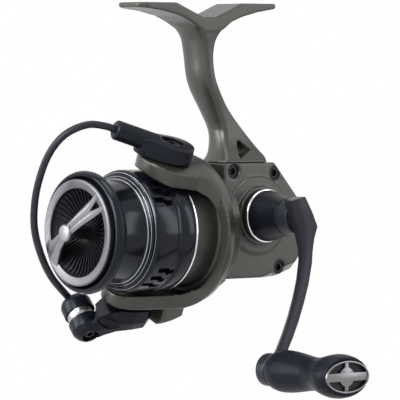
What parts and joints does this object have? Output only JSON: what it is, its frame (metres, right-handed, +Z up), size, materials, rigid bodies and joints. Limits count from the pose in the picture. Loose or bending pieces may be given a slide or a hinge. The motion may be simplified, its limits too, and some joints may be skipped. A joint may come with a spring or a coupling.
{
  "type": "spinning reel",
  "caption": "Open-face spinning reel: foot and stem, gear case with cranked handle, rotor with folding wire bail and line roller, and a front-drag spool.",
  "frame": {"origin": "centre of the foot's flat rod face", "axes": "+Z up, out of the rod face; the spool's front faces -X; the handle is on the -Y side"},
  "size_m": [0.0973, 0.1044, 0.1221],
  "materials": {
    "body_paint": "satin dark olive metallic paint",
    "black_paint": "satin black paint",
    "spool_black": "black anodised",
    "silver": "turned and brushed",
    "steel": "plain",
    "bright": "polished",
    "brass": "machined",
    "plastic": "moulded",
    "grip": "satin soft grip",
    "felt": "pressed felt"
  },
  "bodies": {
    "frame": {"body_frame": "body_paint", "side_cover": "body_paint", "cover_screws": "black_paint", "drive_bearing_near": "steel", "drive_bearing_far": "steel", "far_side_cap": "black_paint", "guide_rod": "steel", "pinion_bearing": "steel", "clutch_ring": "steel", "clutch_cage": "plastic", "clutch_rollers": "steel", "clutch_retainer": "plastic", "crosswind_axle": "steel"},
    "drive": {"drive_gear": "silver", "handle_shaft": "steel", "collar_ring": "silver", "handle_collar": "black_paint", "handle_arm": "black_paint", "knob_axle": "steel", "knob_screw": "steel"},
    "knob": {"knob_bearings": "steel", "knob_grip": "grip", "knob_bezel": "silver", "knob_insert": "silver"},
    "crosswind": {"crosswind_gear": "brass"},
    "rotor_group": {"rotor": "body_paint", "pinion_gear": "brass", "clutch_sleeve": "steel", "rotor_nut": "steel", "nut_retainer": "plastic", "spring_cover": "body_paint", "cover_pin": "steel", "bail_spring": "steel", "spring_guide": "plastic", "pivot_screws": "black_paint"},
    "bail": {"bail_lever": "black_paint", "bail_holder": "black_paint", "bail_wire": "black_paint", "wire_cap": "black_paint", "roller_screw": "black_paint", "roller_bearing": "steel"},
    "roller": {"line_roller": "bright"},
    "shaft": {"main_shaft": "steel", "slider_block": "brass", "slider_screw": "steel", "spool_seat": "plastic"},
    "spool_group": {"spool": "spool_black", "spool_skirt": "spool_black", "spool_trim": "silver", "skirt_ring": "silver", "drag_washers": "felt", "drag_plates": "steel", "washer_clip": "steel"},
    "drag_knob": {"drag_knob_body": "plastic", "drag_knob_trim": "silver", "drag_knob_nut": "brass", "drag_spring": "steel"}
  },
  "joints": [
    {"name": "handle_spin", "type": "hinge", "parent": "frame", "child": "drive", "pos_m": [0.015, 0, -0.0683], "axis": [0, 1, 0], "continuous": true},
    {"name": "knob_spin", "type": "hinge", "parent": "drive", "child": "knob", "pos_m": [-0.0052, 0, -0.1152], "axis": [0, 1, 0], "continuous": true},
    {"name": "crosswind_spin", "type": "hinge", "parent": "frame", "child": "crosswind", "pos_m": [0.02451, 0, -0.07657], "axis": [0, 1, 0], "continuous": true},
    {"name": "rotor_spin", "type": "hinge", "parent": "frame", "child": "rotor_group", "pos_m": [0, 0, -0.0726], "axis": [1, 0, 0], "continuous": true},
    {"name": "bail_turn", "type": "hinge", "parent": "rotor_group", "child": "bail", "pos_m": [-0.02, 0, -0.0726], "axis": [0, -0.3907, 0.9205], "range_deg": [0, 110]},
    {"name": "roller_spin", "type": "hinge", "parent": "bail", "child": "roller", "pos_m": [-0.03353, 0.01727, -0.10068], "axis": [0.0365, 0.6695, 0.742], "continuous": true},
    {"name": "spool_stroke", "type": "slide", "parent": "frame", "child": "shaft", "axis": [1, 0, 0], "range_m": [0, 0.009]},
    {"name": "spool_spin", "type": "hinge", "parent": "shaft", "child": "spool_group", "pos_m": [0, 0, -0.0726], "axis": [1, 0, 0], "continuous": true},
    {"name": "drag_turn", "type": "hinge", "parent": "shaft", "child": "drag_knob", "pos_m": [0, 0, -0.0726], "axis": [1, 0, 0], "range_deg": [0, 720]}
  ],
  "couplings": [
    {"joint": "crosswind_spin", "follows": "handle_spin", "ratio": -0.5},
    {"joint": "rotor_spin", "follows": "handle_spin", "ratio": -4.8}
  ]
}
